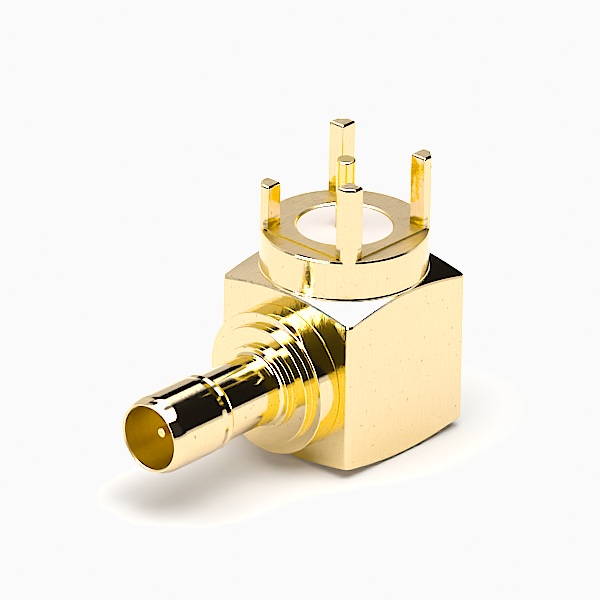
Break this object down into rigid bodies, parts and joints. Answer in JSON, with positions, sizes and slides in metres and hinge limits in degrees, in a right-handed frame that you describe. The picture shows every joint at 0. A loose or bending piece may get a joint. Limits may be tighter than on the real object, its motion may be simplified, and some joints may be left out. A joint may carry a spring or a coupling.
{
  "type": "right-angle coaxial board jack",
  "caption": "Right-angle push-on coaxial jack: a square turned block with a snap-bead barrel at the front, and a collar with milled solder legs and a centre tail pin for a circuit board.",
  "frame": {"origin": "middle of the flat that the block lies on, on the axis of the collar and the tail pin", "axes": "+Z along the tail pin and the legs, away from the flat; -Y along the barrel, out of its mouth; +X to the right as the mouth is seen"},
  "size_m": [0.008, 0.0172, 0.014],
  "materials": {
    "plated_body": "bright gold plate over drawn and turned brass",
    "plated_barrel": "bright gold plate over turned brass",
    "plated_contact": "satin gold plate",
    "insulator": "white fluoropolymer, lightly machined"
  },
  "bodies": {
    "root": {"body": "plated_body", "barrel": "plated_barrel", "contact_pin": "plated_contact", "tail_pin": "plated_contact", "front_insulator": "insulator", "board_insulator": "insulator"}
  },
  "joints": []
}
